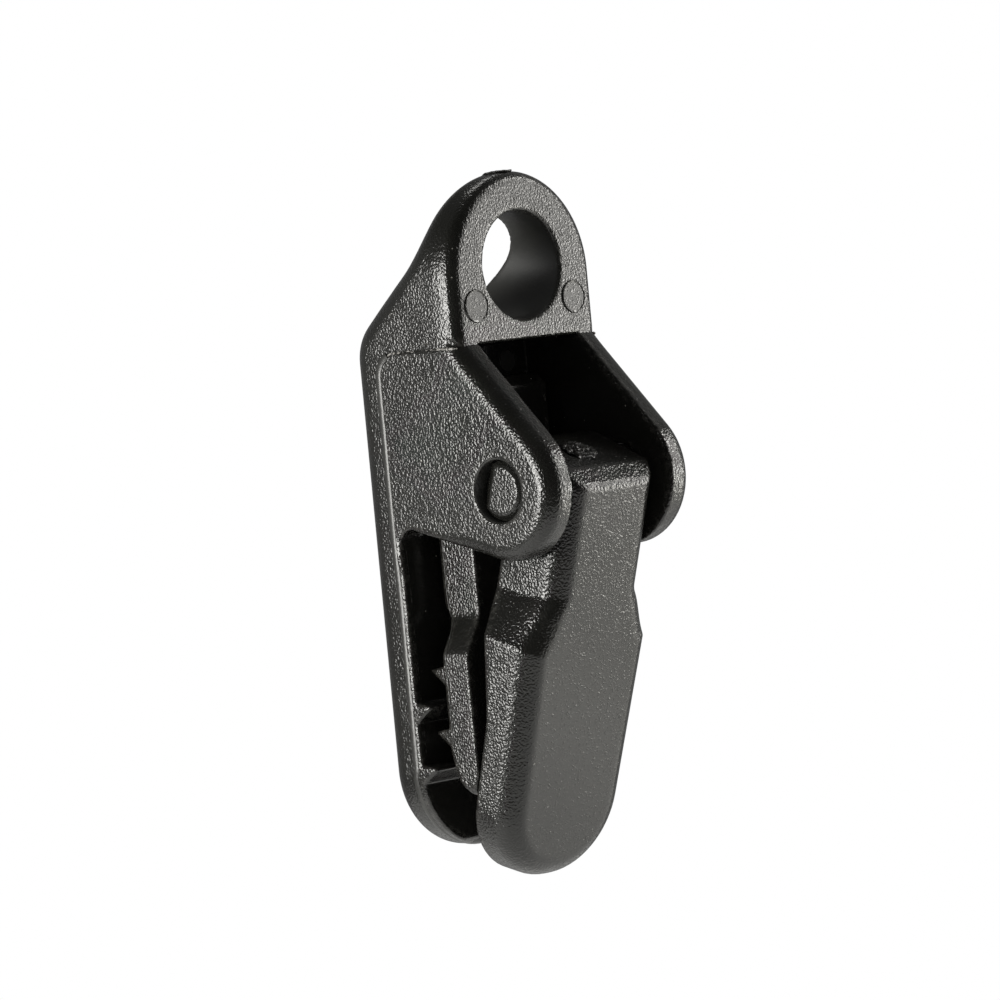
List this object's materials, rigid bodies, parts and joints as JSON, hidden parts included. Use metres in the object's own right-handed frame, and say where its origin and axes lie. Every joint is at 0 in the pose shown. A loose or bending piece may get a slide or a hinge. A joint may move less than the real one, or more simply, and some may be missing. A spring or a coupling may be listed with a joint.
{
  "type": "tarp clip",
  "caption": "Black plastic tarp clip: an eyelet body with a toothed back plate, a rocking toothed jaw and a cam lever that presses the jaw shut.",
  "frame": {"origin": "on the eyelet's axis, in its front face", "axes": "+X across the width, -Y to the lever side, +Z along the clip to the top of the eyelet"},
  "size_m": [0.025, 0.0312, 0.0843],
  "materials": {
    "black_plastic": "fine spark-eroded grain"
  },
  "bodies": {
    "body": {"body": "black_plastic"},
    "clamp_jaw": {"clamp_jaw": "black_plastic"},
    "lever": {"lever": "black_plastic"}
  },
  "joints": [
    {"name": "lever_hinge", "type": "hinge", "parent": "body", "child": "lever", "pos_m": [0, -0.0046, -0.026], "axis": [-1, 0, 0], "range_deg": [0, 105]},
    {"name": "jaw_hinge", "type": "hinge", "parent": "body", "child": "clamp_jaw", "pos_m": [0, 0.0107, -0.0156], "axis": [-1, 0, 0], "range_deg": [0, 7.35]}
  ],
  "couplings": [
    {"joint": "jaw_hinge", "follows": "lever_hinge", "ratio": 0.07}
  ]
}
